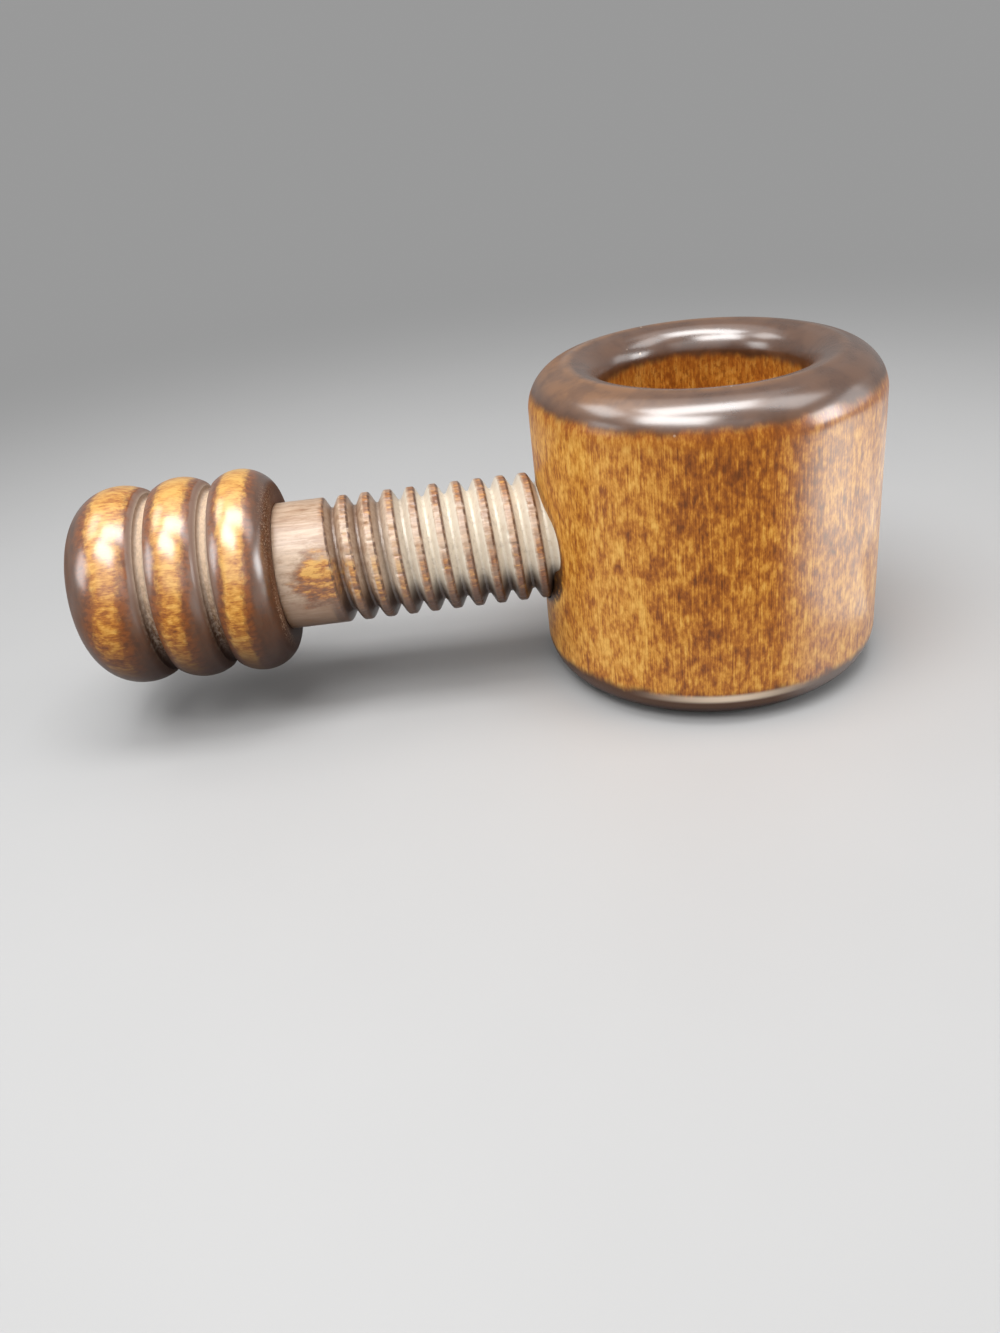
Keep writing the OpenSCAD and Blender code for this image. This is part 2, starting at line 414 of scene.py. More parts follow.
class Finish:
    """One procedural material, built a node at a time. Feature sizes of noise are in millimetres."""

    def __init__(self, name):
        self.material = bpy.data.materials.new(name)
        self.material.use_nodes = True
        self.nodes = self.material.node_tree.nodes
        self.links = self.material.node_tree.links
        self.shader = self.nodes["Principled BSDF"]
        coordinates = self.nodes.new("ShaderNodeTexCoord")
        self.place = coordinates.outputs["Object"]
        self.normal = coordinates.outputs["Normal"]

    def put(self, socket, value):
        """Links an output to a socket, or writes a constant on it."""
        if isinstance(value, bpy.types.NodeSocket):
            self.links.new(value, socket)
        else:
            socket.default_value = value

    def vector(self, operation, first, second):
        """One step of arithmetic on two vectors."""
        node = self.nodes.new("ShaderNodeVectorMath")
        node.operation = operation
        self.put(node.inputs[0], first)
        self.put(node.inputs[1], second)
        return node.outputs["Value" if operation in ("LENGTH", "DISTANCE") else "Vector"]

    def calc(self, operation, first, second=0.0):
        """One step of arithmetic on two numbers."""
        node = self.nodes.new("ShaderNodeMath")
        node.operation = operation
        self.put(node.inputs[0], first)
        self.put(node.inputs[1], second)
        return node.outputs[0]

    def both(self, first, *others):
        """Product of values: 1 where all of them are."""
        for other in others:
            first = self.calc("MULTIPLY", first, other)
        return first

    def either(self, first, *others):
        """The greatest of values."""
        for other in others:
            first = self.calc("MAXIMUM", first, other)
        return first

    def weigh(self, *parts):
        """Sum of values, each with its weight."""
        total = self.both(*parts[0])
        for value, weight in parts[1:]:
            total = self.calc("ADD", total, self.both(value, weight))
        return total

    def range(self, value, low, high):
        """A value from 0 to 1 spread over another range."""
        node = self.nodes.new("ShaderNodeMapRange")
        self.put(node.inputs["Value"], value)
        node.inputs["To Min"].default_value = low
        node.inputs["To Max"].default_value = high
        return node.outputs["Result"]

    def band(self, value, low, high):
        """Goes smoothly from 0 at low to 1 at high, which may be the lesser of the two."""
        node = self.nodes.new("ShaderNodeMapRange")
        node.interpolation_type = "SMOOTHSTEP"
        self.put(node.inputs["Value"], value)
        self.put(node.inputs["From Min"], low)
        self.put(node.inputs["From Max"], high)
        return node.outputs["Result"]

    def between(self, value, start, full, fade, end):
        """Rises from 0 at start to 1 at full, and falls from 1 at fade to 0 at end."""
        return self.both(self.band(value, start, full), self.band(value, end, fade))

    def axes(self, vector):
        """The X, Y and Z of a vector."""
        node = self.nodes.new("ShaderNodeSeparateXYZ")
        self.put(node.inputs[0], vector)
        return node.outputs

    def off_axis(self, through, across):
        """Distance from an axis through a point; across is 1 along the two directions square to it."""
        away = self.vector("SUBTRACT", self.place, through)
        return self.vector("LENGTH", self.vector("MULTIPLY", away, across), (0, 0, 0))

    def near(self, point, reach):
        """1 at a point, falling to 0 at a distance from it."""
        return self.band(self.vector("DISTANCE", self.place, point), reach, 0)

    def noise(self, size, detail=2.0, roughness=0.5, shift=0.0):
        """Noise with features of a size along X, Y and Z."""
        moved = self.vector("ADD", self.place, (shift, shift, shift))
        node = self.nodes.new("ShaderNodeTexNoise")
        self.put(node.inputs["Vector"], self.vector("MULTIPLY", moved, [1 / (s * MM) for s in size]))
        node.inputs["Scale"].default_value = 1.0
        node.inputs["Detail"].default_value = detail
        node.inputs["Roughness"].default_value = roughness
        return node.outputs["Fac"]

    def specks(self, size, radius):
        """Sparse round specks, 1 inside and 0 outside."""
        node = self.nodes.new("ShaderNodeTexVoronoi")
        self.put(node.inputs["Vector"], self.vector("MULTIPLY", self.place, [1 / (size * MM)] * 3))
        node.inputs["Scale"].default_value = 1.0
        return self.band(node.outputs["Distance"], radius / size, 0.6 * radius / size)

    def mix(self, share, first, second):
        """First colour where share is 0, second where it is 1."""
        node = self.nodes.new("ShaderNodeMix")
        node.data_type = "RGBA"
        sockets = {s.identifier: s for s in node.inputs}
        self.put(sockets["Factor_Float"], share)
        for socket, colour in (("A_Color", first), ("B_Color", second)):
            self.put(sockets[socket], colour if isinstance(colour, bpy.types.NodeSocket) else (*colour, 1))
        return next(s for s in node.outputs if s.identifier == "Result_Color")

    def ramp(self, value, stops):
        """Colours by value, from pairs of value and colour in rising order."""
        node = self.nodes.new("ShaderNodeValToRGB")
        elements = node.color_ramp.elements
        elements[0].position, elements[1].position = stops[0][0], stops[-1][0]
        for place, _ in stops[1:-1]:
            elements.new(place)
        for element, (_, colour) in zip(elements, stops):
            element.color = (*colour, 1)
        self.put(node.inputs["Fac"], value)
        return node.outputs["Color"]

    def surface(self, colour, roughness, specular=0.5):
        """Colour and sheen of the bare surface."""
        self.put(self.shader.inputs["Base Color"], colour)
        self.put(self.shader.inputs["Roughness"], roughness)
        self.shader.inputs["Specular IOR Level"].default_value = specular

    def relief(self, height, depth):
        """Bump of a real depth in millimetres."""
        node = self.nodes.new("ShaderNodeBump")
        node.inputs["Distance"].default_value = depth * MM
        self.put(node.inputs["Height"], height)
        self.put(self.shader.inputs["Normal"], node.outputs["Normal"])

    def lacquer(self, weight, roughness, index):
        """Clear coat over the surface."""
        self.put(self.shader.inputs["Coat Weight"], weight)
        self.shader.inputs["Coat Roughness"].default_value = roughness
        self.shader.inputs["Coat IOR"].default_value = index


# Colours, in linear values
STRAW = (0.84, 0.46, 0.095)
GOLD = (0.63, 0.265, 0.034)
AMBER = (0.43, 0.138, 0.014)
RUST = (0.27, 0.075, 0.010)
BROWN = (0.155, 0.044, 0.008)
UMBER = (0.085, 0.033, 0.013)
SEPIA = (0.034, 0.014, 0.008)
COCOA = (0.13, 0.056, 0.025)
HAZEL = (0.30, 0.133, 0.046)
CLAY = (0.30, 0.16, 0.082)
RUSSET = (0.72, 0.27, 0.045)
TAN = (0.62, 0.435, 0.295)
ROSE = (0.47, 0.295, 0.19)
CREAM = (0.80, 0.64, 0.49)
CHALK = (0.80, 0.71, 0.58)
DUST = (0.55, 0.44, 0.34)
TAUPE = (0.22, 0.15, 0.105)
# colour of the painted sheen on the knob's flanks
SHEEN_GREY = (0.30, 0.20, 0.155)


def along_axis(axis, across, length):
    """A feature size that is long along the grain."""
    size = [across, across, across]
    size["XYZ".index(axis)] = length
    return size


def flecked_wood(finish, axis, bias):
    """Golden flecked wood, lighter where bias is high; gives its colour, its height and its fibres."""
    tone = finish.noise(along_axis(axis, 16, 20), 2)
    cluster = finish.noise(along_axis(axis, 2.2, 3.6), 3, 0.6, shift=0.3)
    fleck = finish.noise(along_axis(axis, 0.75, 1.7), 3, 0.6, shift=0.7)
    fibre = finish.noise(along_axis(axis, 0.24, 6), 2, 0.6, shift=1.9)
    mixed = finish.weigh((tone, 0.12), (cluster, 0.34), (fleck, 0.32), (fibre, 0.22))
    stops = [(0.37, BROWN), (0.43, RUST), (0.485, AMBER), (0.54, GOLD), (0.63, STRAW)]
    colour = finish.ramp(finish.calc("ADD", mixed, bias), stops)
    height = finish.weigh((fibre, 0.6), (fleck, 0.7))
    return colour, height, fibre


def cup_radius(finish):
    """Distance from the axis of the cup."""
    return finish.off_axis((0, 0, 0), (1, 1, 0))


def screw_radius(finish):
    """Distance from the axis of the screw."""
    return finish.off_axis((0, 0, SCREW_H), (0, 1, 1))


def screw_rise(finish, least):
    """Height over the screw's axis for each unit of radius, which counts as no less than a given one."""
    _, _, level = finish.axes(finish.place)
    radius = finish.either(screw_radius(finish), least)
    return finish.calc("DIVIDE", finish.calc("SUBTRACT", level, SCREW_H), radius)


def cup_sides(finish, inside, to_left, to_right, to_foot):
    """Golden wood of the cup's walls, darker in the middle, redder and peppered in the well, with faint
    painted sheen to the right.
    """
    dark_middle = finish.near((1 * MM, -31 * MM, 42 * MM), 22 * MM)
    # the slight lightening towards the right is painted sheen
    bias = finish.weigh(
        (to_left, 0.040), (to_right, 0.008), (to_foot, 0.013), (inside, 0.036), (dark_middle, -0.01)
    )
    colour, height, fibre = flecked_wood(finish, "Z", finish.calc("SUBTRACT", bias, 0.014))
    colour = finish.mix(finish.both(inside, 0.18), colour, RUSSET)
    peppered = finish.band(finish.noise((0.7, 0.7, 1.3), 3, 0.6, shift=2.4), 0.5, 0.62)
    colour = finish.mix(finish.both(inside, peppered, 0.7), colour, RUST)
    return colour, height, fibre


def stained_ends(finish, colour, inside):
    """Dark stain with a ragged edge over the cup's rim and foot, and a pale painted highlight along the
    foot.
    """
    _, _, level = finish.axes(finish.place)
    ragged = finish.range(finish.noise((3.5, 3.5, 9), 3, 0.6, shift=4.1), -1.4 * MM, 1.4 * MM)
    ragged_level = finish.calc("ADD", finish.calc("ADD", level, ragged), finish.both(inside, 1.0 * MM))
    colour = finish.mix(finish.both(finish.band(ragged_level, 49 * MM, 54.5 * MM), 0.5), colour, RUST)
    rim_colour = finish.mix(finish.band(finish.noise((6, 6, 4), 3, shift=5.2), 0.35, 0.65), UMBER, COCOA)
    colour = finish.mix(finish.band(ragged_level, 53.2 * MM, 55.0 * MM), colour, rim_colour)
    colour = finish.mix(finish.band(ragged_level, 7.4 * MM, 5.2 * MM), colour, UMBER)
    colour = finish.mix(finish.band(level, 3.6 * MM, 2.2 * MM), colour, SEPIA)
    # pale line along the front of the foot: painted highlight
    foot_highlight = finish.between(level, 4.3 * MM, 5.2 * MM, 5.7 * MM, 6.6 * MM)
    foot_highlight = finish.both(foot_highlight, finish.near((-3 * MM, -31 * MM, 5.4 * MM), 19 * MM))
    return finish.mix(foot_highlight, colour, CREAM)


def darkened_hole_edge(finish, colour):
    """Darkening round the screw's hole in the cup, stronger low down, and near-black patches at its lower
    front edge.
    """
    across, _, level = finish.axes(finish.place)
    from_screw = screw_radius(finish)
    beside_hole = finish.band(across, -24 * MM, -27 * MM)
    low = finish.range(finish.band(level, 37 * MM, 26 * MM), 0.3, 0.85)
    dark_ring = finish.both(finish.band(from_screw, 13.4 * MM, 12.5 * MM), beside_hole, low)
    colour = finish.mix(dark_ring, colour, UMBER)
    dark_patches = finish.band(finish.noise((1.0, 1.0, 1.0), 3, 0.6, shift=8.4), 0.35, 0.5)
    lower_front = finish.near((-29 * MM, -10 * MM, 20 * MM), 9 * MM)
    at_edge = finish.band(from_screw, 14.4 * MM, 13.2 * MM)
    return finish.mix(finish.both(lower_front, dark_patches, at_edge, beside_hole), colour, SEPIA)


def lighter_rim_slope_and_crest(finish, colour, to_right):
    """Lighter brown over the left slope of the cup's rim and along its crest, less of it to the right."""
    across, _, level = finish.axes(finish.place)
    radius = cup_radius(finish)
    patchy = finish.band(finish.noise((4, 4, 4), 3, 0.6, shift=6.6), 0.35, 0.6)
    slope = finish.between(radius, 23.6 * MM, 24.8 * MM, 28.5 * MM, 31 * MM)
    slope = finish.both(slope, finish.band(across, -4 * MM, -22 * MM), finish.band(level, 54 * MM, 56 * MM))
    colour = finish.mix(finish.both(slope, finish.range(patchy, 0.25, 0.6)), colour, HAZEL)
    crest = finish.between(radius, 22.8 * MM, 24.0 * MM, 24.4 * MM, 25.8 * MM)
    crest = finish.both(crest, finish.band(level, 57.5 * MM, 58.2 * MM), finish.range(to_right, 0.6, 0.15))
    return finish.mix(finish.both(crest, finish.range(patchy, 0.3, 1.0)), colour, HAZEL)


def cup_gloss(finish, to_left, to_right, to_foot):
    """How much lacquer is left on the cup: most on the rim and on the front of its right side."""
    _, depth, level = finish.axes(finish.place)
    outer_slope = finish.band(cup_radius(finish), 24.5 * MM, 26.5 * MM)
    back_slope = finish.both(finish.band(depth, -6 * MM, 10 * MM), outer_slope)
    rim = finish.both(finish.band(level, 53.5 * MM, 56 * MM), finish.range(back_slope, 1.0, 0.35))
    side = finish.both(to_right, finish.band(depth, 4 * MM, -17 * MM), 0.85)
    glossy = finish.either(rim, side, finish.both(to_left, 0.13), finish.both(to_foot, 0.1))
    return finish.range(glossy, 0.03, 1.0)


def cup_wood():
    """Lacquered wood of the cup: golden sides, and a dark rim and foot where end grain took more stain."""
    finish = Finish("cup_wood")
    across, _, level = finish.axes(finish.place)
    inside = finish.band(cup_radius(finish), 24 * MM, 20 * MM)
    to_left = finish.band(across, 0.0, -28 * MM)
    to_right = finish.band(across, 3 * MM, 15 * MM)
    to_foot = finish.band(level, 30 * MM, 10 * MM)
    colour, height, fibre = cup_sides(finish, inside, to_left, to_right, to_foot)
    colour = stained_ends(finish, colour, inside)
    colour = darkened_hole_edge(finish, colour)
    colour = lighter_rim_slope_and_crest(finish, colour, to_right)
    worn = finish.both(finish.specks(5.5, 0.3), finish.band(level, 53 * MM, 55 * MM))
    colour = finish.mix(finish.both(worn, 0.85), colour, CREAM)
    finish.surface(colour, finish.range(fibre, 0.36, 0.5), 0.15)
    finish.relief(finish.calc("SUBTRACT", height, finish.both(worn, 2.0)), 0.03)
    finish.lacquer(cup_gloss(finish, to_left, to_right, to_foot), 0.23, 2.3)
    return finish.material


def from_groove(finish):
    """Distance along the knob from the nearer of its two grooves."""
    along, _, _ = finish.axes(finish.place)
    off_far, off_near = (
        finish.calc("ABSOLUTE", finish.calc("SUBTRACT", along, x)) for x in (FAR_GROOVE_X, NEAR_GROOVE_X)
    )
    return finish.calc("MINIMUM", off_far, off_near)


def bead_sides(finish, colour, above, on_top, off_groove):
    """Rusty edges to the beads' golden stripes, and dark end grain beyond, with painted grey sheen high up
    towards the grooves.
    """
    facing, _, _ = finish.axes(finish.normal)
    tilt = finish.calc("ABSOLUTE", finish.calc("SUBTRACT", facing, finish.range(above, -0.2, 0.03)))
    ragged = finish.range(finish.noise((1.2, 1.6, 1.6), 3, 0.65, shift=3.3), -0.16, 0.16)
    off_crest = finish.calc("SUBTRACT", finish.calc("ADD", tilt, ragged), finish.both(on_top, 0.1))
    mottle = finish.band(finish.noise((1.6, 0.8, 0.8), 3, 0.6, shift=7.7), 0.38, 0.6)
    colour = finish.mix(finish.band(off_crest, 0.14, 0.33), colour, finish.mix(mottle, BROWN, RUST))
    side = finish.mix(finish.band(finish.noise((1.2, 5, 5), 3, shift=2.2), 0.35, 0.65), UMBER, COCOA)
    side = finish.mix(finish.both(mottle, 0.35), side, BROWN)
    # pale grey on the upper flanks towards the grooves: painted sheen
    painted_sheen = finish.both(finish.band(off_groove, 5.5 * MM, 1.5 * MM), above, 0.75)
    side = finish.mix(painted_sheen, side, SHEEN_GREY)
    return finish.mix(finish.band(off_crest, 0.31, 0.55), colour, side)


def groove_dust_and_shading(finish, colour, above, off_groove):
    """Dust in the knob's grooves, with painted light making it pale above and painted shade making it dim
    below.
    """
    in_groove = finish.band(off_groove, GROOVE_W / 2 + 0.5 * MM, GROOVE_W / 2 - 0.5 * MM)
    powder = finish.noise((0.5, 0.9, 0.9), 3, 0.65, shift=6.1)
    pale = finish.mix(finish.band(powder, 0.25, 0.75), DUST, CREAM)
    dim = finish.mix(finish.band(powder, 0.35, 0.75), UMBER, DUST)
    # pale upper and dim lower groove colours follow the height: painted light and painted shade
    return finish.mix(finish.both(in_groove, 0.85), colour, finish.mix(above, dim, pale))


def scuffed_face(finish, colour):
    """Fine scuffs on the knob's face at the shank: a patch high up and part of a ring low down."""
    facing, _, _ = finish.axes(finish.normal)
    patch = finish.near((KNOB_X, -8 * MM, 40 * MM), 15 * MM)
    ring = finish.between(screw_radius(finish), 13.2 * MM, 14.2 * MM, 15.3 * MM, 16.3 * MM)
    ring = finish.both(ring, finish.near((KNOB_X, -14 * MM, 24 * MM), 14 * MM))
    speckle = finish.band(finish.noise((0.35, 0.35, 0.35), 3, 0.6, shift=4.7), 0.5, 0.68)
    scuffed = finish.both(finish.either(patch, ring), finish.band(facing, 0.62, 0.9), speckle, 0.6)
    return finish.mix(scuffed, colour, TAN)


def knob_gloss(finish, matt):
    """How much lacquer is left on the knob: most on the upper sides of its beads."""
    facing, _, up = finish.axes(finish.normal)
    raised_flank = finish.calc("ADD", up, finish.both(finish.band(facing, 0.3, 0.5), 0.14))
    away = finish.either(finish.band(raised_flank, 0.4, 0.0), finish.band(facing, -0.6, -0.85))
    return finish.range(finish.either(matt, finish.both(away, 0.95)), 1.0, 0.03)


def knob_wood():
    """Lacquered wood of the knob: golden along the beads, dark on their end grain, dusty in the grooves;
    painted light on top, painted shade below.
    """
    finish = Finish("knob_wood")
    facing, _, _ = finish.axes(finish.normal)
    along, _, _ = finish.axes(finish.place)
    raised = screw_rise(finish, 13 * MM)
    above = finish.band(raised, -0.35, 0.6)
    on_top = finish.band(raised, 0.15, 0.95)
    below = finish.band(raised, 0.05, -0.78)
    off_groove = from_groove(finish)
    to_screw = finish.band(along, KNOB_X - 30 * MM, KNOB_X - 5 * MM)
    # the beads are made lighter on top: painted light
    bias = finish.weigh((on_top, 0.055), (to_screw, 0.04))
    colour, height, fibre = flecked_wood(finish, "X", finish.calc("ADD", bias, 0.01))
    colour = bead_sides(finish, colour, above, on_top, off_groove)
    colour = groove_dust_and_shading(finish, colour, above, off_groove)
    # near-black on the undersides: painted shade
    colour = finish.mix(finish.both(below, 0.95), colour, SEPIA)
    colour = scuffed_face(finish, colour)
    by_groove = finish.band(off_groove, GROOVE_W / 2 + 1.6 * MM, GROOVE_W / 2 + 0.3 * MM)
    matt = finish.either(by_groove, finish.band(facing, 0.75, 0.95))
    rough = finish.calc("ADD", finish.range(fibre, 0.34, 0.48), finish.both(matt, 0.3))
    finish.surface(colour, rough, 0.2)
    finish.relief(height, 0.01)
    finish.lacquer(knob_gloss(finish, matt), 0.25, 2.2)
    return finish.material


def thread_phase(finish):
    """Place across the thread: 0 and 1 in the middle of a groove, 0.5 in the middle of a crest."""
    spare_turns = 100  # keeps the count of turns above 0
    along, across, level = finish.axes(finish.place)
    turned = finish.calc("ARCTAN2", across, finish.calc("SUBTRACT", SCREW_H, level))
    pitches = finish.both(finish.calc("SUBTRACT", along, GROOVE_X), 1 / PITCH)
    turns = finish.calc("SUBTRACT", pitches, finish.both(turned, 1 / TURN))
    return finish.calc("FRACT", finish.calc("ADD", turns, THREAD_START + spare_turns))


def dry_wood(finish, streak, fine, raised):
    """Bare streaky wood, smudged, paler along the sides as painted light, and clay brown below as painted
    shade.
    """
    along, _, _ = finish.axes(finish.place)
    colour = finish.mix(finish.band(streak, 0.36, 0.64), ROSE, TAN)
    colour = finish.mix(finish.both(finish.band(fine, 0.45, 0.7), 0.35), colour, CREAM)
    colour = finish.mix(finish.both(finish.band(fine, 0.48, 0.3), 0.25), colour, TAUPE)
    # paler band round the middle height: painted light
    paler = finish.between(raised, -0.35, 0.05, 0.35, 1.0)
    colour = finish.mix(finish.both(paler, 0.45), colour, CREAM)
    smudge = finish.band(finish.noise((3.5, 1.1, 1.1), 4, 0.65, shift=9.1), 0.46, 0.64)
    to_thread = finish.band(along, -80 * MM, -74 * MM)
    colour = finish.mix(finish.both(smudge, finish.range(to_thread, 0.15, 0.45)), colour, HAZEL)
    # clay brown on the underside: painted shade
    return finish.mix(finish.both(finish.band(raised, 0.05, -0.5), 0.7), colour, CLAY)


def stained_crests(finish, colour, phase, raised, on_thread):
    """Old stain left in a torn patch on the shank and on the crests, thinned on their upper sides as a
    painted highlight.
    """
    torn = finish.noise((3.5, 1.8, 1.8), 4, 0.65, shift=7.3)
    patch = finish.near((-73.0 * MM, -11.6 * MM, 28.8 * MM), 9 * MM)
    patch = finish.calc("ADD", patch, finish.range(torn, -0.9, 0.9))
    colour = finish.mix(finish.both(finish.band(patch, 0.0, 0.4), 0.45), colour, CLAY)
    fleck = finish.noise((2.6, 0.9, 0.9), 4, 0.66, shift=3.9)
    golden = finish.near((-73.0 * MM, -11.2 * MM, 31.0 * MM), 5.5 * MM)
    first_turns = finish.near((-62 * MM, -10 * MM, 31 * MM), 13 * MM)
    golden = finish.either(golden, finish.both(first_turns, 0.85))
    tinge = finish.calc("ADD", fleck, finish.range(golden, -0.085, 0.085))
    stain = finish.ramp(tinge, [(0.34, BROWN), (0.42, RUST), (0.47, AMBER), (0.53, GOLD), (0.60, STRAW)])
    blotch = finish.band(finish.noise((7, 5, 5), 3, shift=2.8), 0.38, 0.62)
    crest = finish.both(finish.between(phase, 0.36, 0.46, 0.67, 0.74), on_thread)
    # stain thinned where the crests face up and out: painted highlight
    highlight_band = finish.between(raised, 0.15, 0.5, 0.8, 0.97)
    stained = finish.both(crest, finish.range(blotch, 0.5, 0.95), finish.range(highlight_band, 0.9, 0.25))
    stained = finish.either(stained, finish.both(finish.band(patch, 0.15, 0.75), 0.85))
    return finish.mix(stained, colour, stain)


def shaded_dusty_thread(finish, colour, phase, raised, on_thread):
    """Painted shade on the thread's right flanks, roots and underside; crest edges dark from stain and
    painted shade; chalky dust in the roots by the cup.
    """
    along, _, _ = finish.axes(finish.place)
    sunk = finish.band(screw_radius(finish), SCREW_R - 0.05 * MM, SCREW_R - 0.3 * MM)
    by_cup = finish.band(along, -64 * MM, -54 * MM)
    powder = finish.noise((1.4, 1.1, 1.1), 4, 0.65, shift=5.7)
    # right flanks, facing away from the lamps, darkened: painted shade
    right_flank = finish.both(finish.band(phase, 0.65, 0.73), sunk, finish.range(by_cup, 0.5, 0.85))
    colour = finish.mix(right_flank, colour, TAUPE)
    # dark edge on each crest: part stain, part painted shade
    edge = finish.both(finish.between(phase, 0.58, 0.64, 0.69, 0.74), on_thread)
    edge = finish.both(edge, finish.range(finish.band(powder, 0.38, 0.58), 0.3, 0.9))
    colour = finish.mix(edge, colour, UMBER)
    # darker roots: painted shade
    root = finish.either(finish.band(phase, 0.18, 0.06), finish.band(phase, 0.82, 0.94))
    colour = finish.mix(finish.both(root, sunk, 0.6), colour, UMBER)
    wide_root = finish.either(finish.band(phase, 0.40, 0.31), finish.band(phase, 0.69, 0.77))
    wide_root = finish.both(wide_root, sunk)
    chalky = finish.both(wide_root, by_cup, finish.range(finish.band(powder, 0.3, 0.55), 0.7, 1.0))
    colour = finish.mix(chalky, colour, CHALK)
    # darker undersides of thread and shank: painted shade
    low_thread = finish.both(finish.band(raised, -0.1, -0.65), on_thread)
    low = finish.either(low_thread, finish.band(raised, -0.35, -0.95))
    colour = finish.mix(finish.both(low, 0.9), colour, UMBER)
    # near-black lower roots: painted shade
    low_root = finish.both(finish.band(raised, 0.0, -0.6), wide_root, 0.7)
    return finish.mix(low_root, colour, SEPIA)


def screw_wood():
    """Bare worn wood of the spindle: stained on the shank and crests, dusty in the roots by the cup."""
    finish = Finish("screw_wood")
    along, _, _ = finish.axes(finish.place)
    phase = thread_phase(finish)
    raised = screw_rise(finish, 8 * MM)
    on_thread = finish.band(along, GROOVE_X - 1.0 * MM, GROOVE_X + 0.2 * MM)
    streak = finish.noise((12, 0.9, 0.9), 3, 0.6)
    fine = finish.noise((4, 0.3, 0.3), 2, 0.6, shift=1.7)
    colour = dry_wood(finish, streak, fine, raised)
    colour = stained_crests(finish, colour, phase, raised, on_thread)
    colour = shaded_dusty_thread(finish, colour, phase, raised, on_thread)
    finish.surface(colour, finish.range(fine, 0.36, 0.52))
    finish.relief(finish.calc("ADD", fine, streak), 0.04)
    finish.lacquer(0.5, 0.29, 1.7)
    return finish.material


def dowel_wood():
    """Plain bare wood of the hidden dowel."""
    finish = Finish("dowel_wood_grain")
    streak = finish.noise((14, 0.7, 0.7), 3, 0.6)
    fine = finish.noise((4, 0.25, 0.25), 2, 0.6, shift=1.3)
    colour = finish.mix(finish.band(streak, 0.35, 0.65), TAN, CREAM)
    colour = finish.mix(finish.both(finish.band(fine, 0.52, 0.72), 0.4), colour, ROSE)
    finish.surface(colour, finish.range(fine, 0.5, 0.7))
    finish.relief(fine, 0.04)
    return finish.material


# Stage

TARGET = Vector((-0.035, 0.0, 0.028))
CAMERA_PLACE = (-0.04185, -0.19385, 0.10930)
CAMERA_TURN_DEG = (60.388, 6.227, -3.302)
FOCAL_PIXELS = 1090.4
PICTURE_HEIGHT = 1333
SENSOR_MM = 36
SURROUND_LIGHT = 0.18
BACKDROP_LEVEL = 0.32
FLOOR_HALF = 3.0
FLOOR_DIM = (0.50, 0.50, 0.50)
FLOOR_PALE = (0.53, 0.53, 0.53)
FADE_START = 0.10
FADE_END = 0.42
CARD_HEIGHT = 1 * MM
CARD_TINT = (1.0, 0.985, 0.84)


def camera():
    """Camera of the photograph; its sensor spans the taller side of the picture."""
    data = bpy.data.cameras.new("camera")
    data.sensor_width = SENSOR_MM
    data.lens = SENSOR_MM * FOCAL_PIXELS / PICTURE_HEIGHT
    data.clip_start = 0.01
    view = bpy.data.objects.new("camera", data)
    view.location = CAMERA_PLACE
    view.rotation_euler = [math.radians(a) for a in CAMERA_TURN_DEG]
    bpy.context.scene.collection.objects.link(view)
    bpy.context.scene.camera = view


def panel(name, size, power):
    """Soft rectangular light that stays out of the picture."""
    data = bpy.data.lights.new(name, "AREA")
    data.shape = "RECTANGLE"
    data.size, data.size_y = size
    data.energy = power
    light = bpy.data.objects.new(name, data)
    light.visible_camera = False
    bpy.context.scene.collection.objects.link(light)
    return light


def lamp(name, direction, distance, size, level):
    """Panel aimed at the object; level is the share of full light on a surface that faces it."""
    light = panel(name, size, level * math.pi ** 2 * distance ** 2)
    towards = Vector(direction).normalized()
    light.location = TARGET + towards * distance
    light.rotation_euler = towards.to_track_quat("Z", "Y").to_euler()


def floor_card(name, centre, size, radiance):
    """Faintly warm panel lying on the floor, facing up, that the side of the cup mirrors."""
    light = panel(name, size, radiance * math.pi * size[0] * size[1])
    light.data.color = CARD_TINT
    light.location = (*centre, CARD_HEIGHT)
    light.rotation_euler = (math.pi, 0, 0)


def background_rays(nodes, links):
    """1 for the rays that show the background, in the picture and in reflections."""
    path = nodes.new("ShaderNodeLightPath")
    total = path.outputs["Is Camera Ray"]
    for ray in ("Is Glossy Ray", "Is Transmission Ray"):
        add = nodes.new("ShaderNodeMath")
        add.operation = "MAXIMUM"
        links.new(total, add.inputs[0])
        links.new(path.outputs[ray], add.inputs[1])
        total = add.outputs[0]
    return total


def pale_floor():
    """Plain pale material that fades into the background far from the object."""
    finish = Finish("pale_floor")
    finish.surface(finish.mix(finish.noise((60, 60, 60), 3), FLOOR_DIM, FLOOR_PALE), 0.5)
    glow = finish.nodes.new("ShaderNodeEmission")
    glow.inputs["Color"].default_value = (BACKDROP_LEVEL, BACKDROP_LEVEL, BACKDROP_LEVEL, 1)
    blend = finish.nodes.new("ShaderNodeMixShader")
    far = finish.band(finish.vector("DISTANCE", finish.place, TARGET), FADE_START, FADE_END)
    finish.put(blend.inputs["Fac"], finish.both(far, background_rays(finish.nodes, finish.links)))
    finish.put(blend.inputs[1], finish.shader.outputs["BSDF"])
    finish.put(blend.inputs[2], glow.outputs["Emission"])
    finish.put(finish.nodes["Material Output"].inputs["Surface"], blend.outputs["Shader"])
    return finish.material


def floor():
    """Wide flat floor at the foot of the cup."""
    mesh = bpy.data.meshes.new("floor")
    corners = [(x * FLOOR_HALF, y * FLOOR_HALF, 0) for x, y in ((-1, -1), (1, -1), (1, 1), (-1, 1))]
    mesh.from_pydata(corners, [], [(0, 1, 2, 3)])
    mesh.materials.append(pale_floor())
    ground = bpy.data.objects.new("floor", mesh)
    bpy.context.scene.collection.objects.link(ground)


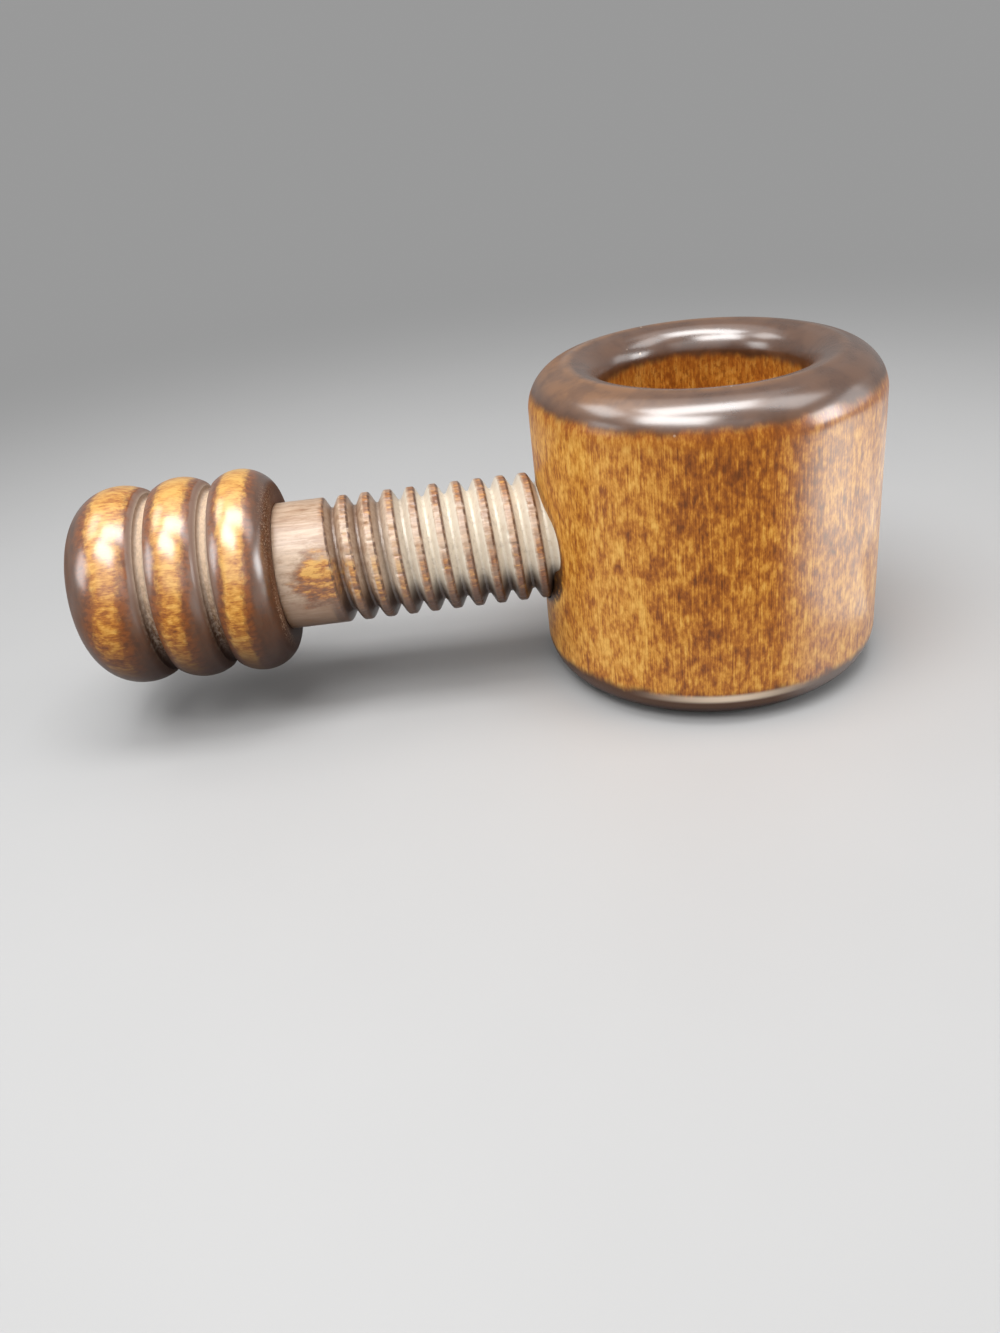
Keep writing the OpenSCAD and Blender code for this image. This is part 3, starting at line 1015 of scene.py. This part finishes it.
def world():
    """Even surroundings, dim as a light and paler as a background."""
    sky = bpy.data.worlds.new("surroundings")
    sky.use_nodes = True
    nodes, links = sky.node_tree.nodes, sky.node_tree.links
    strength = nodes.new("ShaderNodeMapRange")
    strength.inputs["To Min"].default_value = SURROUND_LIGHT
    strength.inputs["To Max"].default_value = BACKDROP_LEVEL
    links.new(background_rays(nodes, links), strength.inputs["Value"])
    shade = nodes["Background"]
    shade.inputs["Color"].default_value = (1, 1, 1, 1)
    links.new(strength.outputs["Result"], shade.inputs["Strength"])
    bpy.context.scene.world = sky


def lights():
    """Panels overhead, in front and at both sides, and cards on the floor to the right."""
    lamp("key", (-0.28, -0.45, 0.85), 0.55, (0.36, 0.19), 0.47)
    lamp("top", (0.0, -0.09, 1.0), 0.55, (0.42, 0.19), 0.52)
    lamp("back", (0.05, 0.30, 0.95), 0.6, (0.6, 0.28), 0.08)
    lamp("front", (-0.1, -0.85, 0.50), 0.7, (0.8, 0.5), 0.16)
    lamp("right", (0.89, -0.38, 0.24), 0.6, (0.20, 0.22), 0.21)
    lamp("far_right", (0.97, -0.02, 0.26), 0.6, (0.34, 0.26), 0.10)
    lamp("upper_right", (0.58, -0.15, 0.80), 0.6, (0.25, 0.25), 0.11)
    lamp("left", (-0.90, -0.2, 0.36), 0.6, (0.22, 0.25), 0.16)
    lamp("upper_left", (-0.58, 0.18, 0.80), 0.6, (0.26, 0.16), 0.11)
    floor_card("front_card", (0.215, -0.065), (0.26, 0.09), 1.6)
    floor_card("near_card", (0.065, -0.045), (0.04, 0.08), 0.9)
    floor_card("middle_card", (0.200, 0.005), (0.25, 0.05), 0.9)
    floor_card("back_card", (0.180, 0.065), (0.20, 0.07), 0.4)


def dress(piece, material, body, node):
    """Gives a piece its material and puts it in the place of its node."""
    piece.data.materials.append(material)
    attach(piece, body)
    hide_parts(node)


bpy.context.scene.view_settings.view_transform = "Standard"
camera()
floor()
world()
lights()

dress(turned_cup(), cup_wood(), "cup", "cup")
dress(wooden_screw(), screw_wood(), "screw", "screw_spindle")
dress(beaded_knob(), knob_wood(), "screw", "knob")

dowel = frame["nodes"]["handle_dowel"]
dowel.data.materials.clear()
dowel.data.materials.append(dowel_wood())
